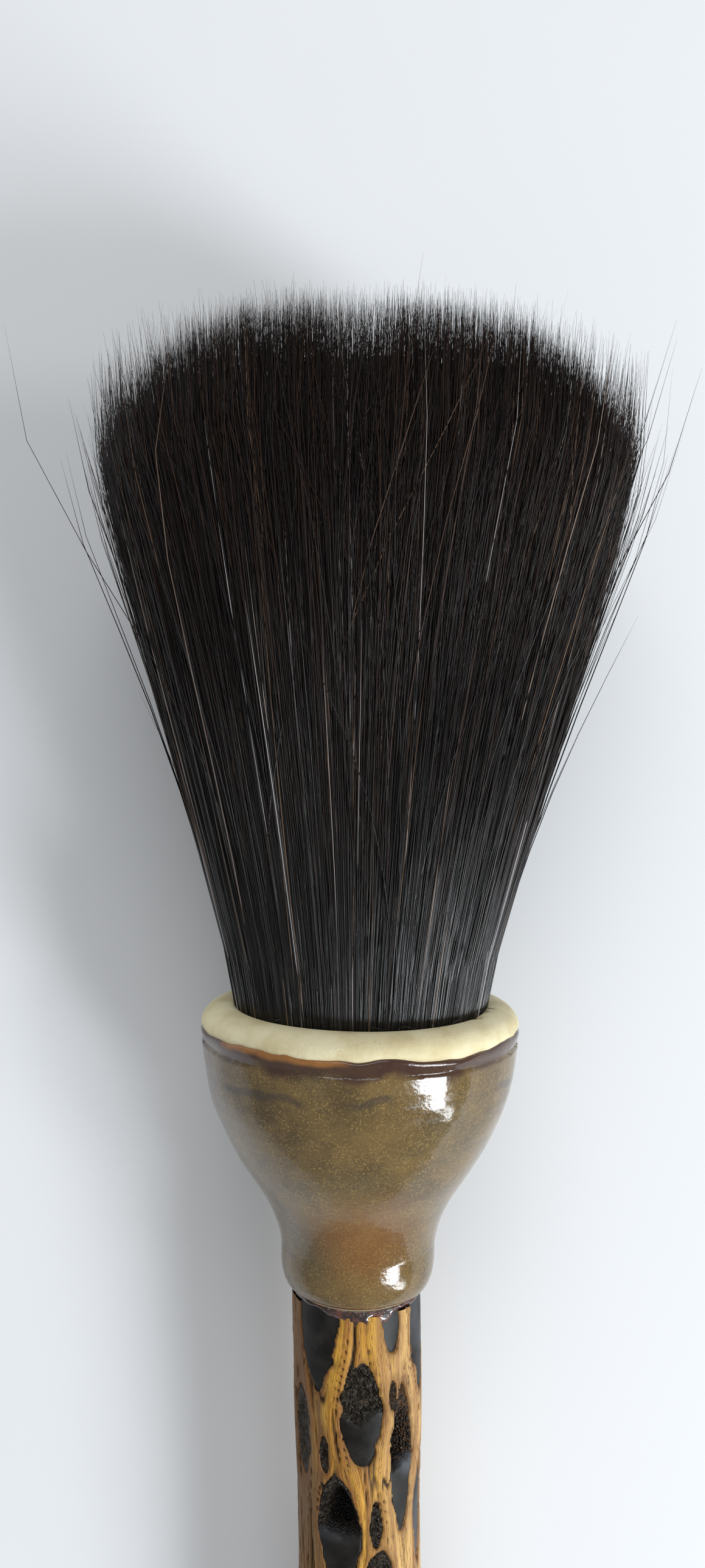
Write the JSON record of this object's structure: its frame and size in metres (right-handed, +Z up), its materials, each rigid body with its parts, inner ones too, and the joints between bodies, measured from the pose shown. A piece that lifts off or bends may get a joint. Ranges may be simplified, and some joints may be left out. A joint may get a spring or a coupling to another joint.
{
  "type": "calligraphy brush",
  "caption": "Large calligraphy brush with a flared horsehair tuft in a glazed ceramic cup on an inlaid cactus-wood handle, for brushing ink on paper.",
  "frame": {"origin": "middle of the brush's length and width, on the table it lies on", "axes": "+Y along the brush towards the tuft, +X across the tuft, +Z up; the brush lies resting on its cup, its tuft and the end of its handle"},
  "size_m": [0.0876, 0.3424, 0.0602],
  "materials": {
    "bare_clay": "unglazed cream stoneware, smooth and matte",
    "olive_glaze": "glossy speckled olive-brown glaze",
    "amber_resin": "poured resin",
    "red_thread": "waxed binding thread",
    "dark_hair": "coarse black-brown horsehair",
    "red_brown_glue": "hardened glossy glue",
    "pale_wood": "plain dowel",
    "ochre_wood": "sanded and oiled cactus wood",
    "charcoal_resin": "charcoal-filled resin, sanded satin, rough in its pits"
  },
  "bodies": {
    "brush": {"ceramic_cup": "bare_clay", "glaze_coat": "olive_glaze", "root_resin": "amber_resin", "binding_thread": "red_thread", "hair_root": "dark_hair", "neck_adhesive": "red_brown_glue", "core_rod": "pale_wood", "cholla_handle": "ochre_wood", "end_cap": "charcoal_resin", "inlay_01": "charcoal_resin", "inlay_02": "charcoal_resin", "inlay_03": "charcoal_resin", "inlay_04": "charcoal_resin", "inlay_05": "charcoal_resin", "inlay_06": "charcoal_resin", "inlay_07": "charcoal_resin", "inlay_08": "charcoal_resin", "inlay_09": "charcoal_resin", "inlay_10": "charcoal_resin", "inlay_11": "charcoal_resin", "inlay_12": "charcoal_resin", "inlay_13": "charcoal_resin", "inlay_14": "charcoal_resin", "inlay_15": "charcoal_resin", "inlay_row_01": "charcoal_resin", "inlay_row_02": "charcoal_resin", "inlay_row_03": "charcoal_resin", "inlay_row_04": "charcoal_resin", "inlay_row_05": "charcoal_resin", "inlay_row_06": "charcoal_resin", "inlay_row_07": "charcoal_resin", "inlay_row_08": "charcoal_resin", "inlay_row_09": "charcoal_resin", "inlay_row_10": "charcoal_resin", "inlay_row_11": "charcoal_resin", "inlay_row_12": "charcoal_resin", "inlay_row_13": "charcoal_resin"},
    "tuft": {"hair_tuft": "dark_hair"}
  },
  "joints": [
    {"name": "tuft_flex", "type": "hinge", "parent": "brush", "child": "tuft", "pos_m": [0, 0.08862, 0.02806], "axis": [1, 0, 0], "range_deg": [-30, 30], "stiffness_Nm_per_rad": 0.4}
  ]
}
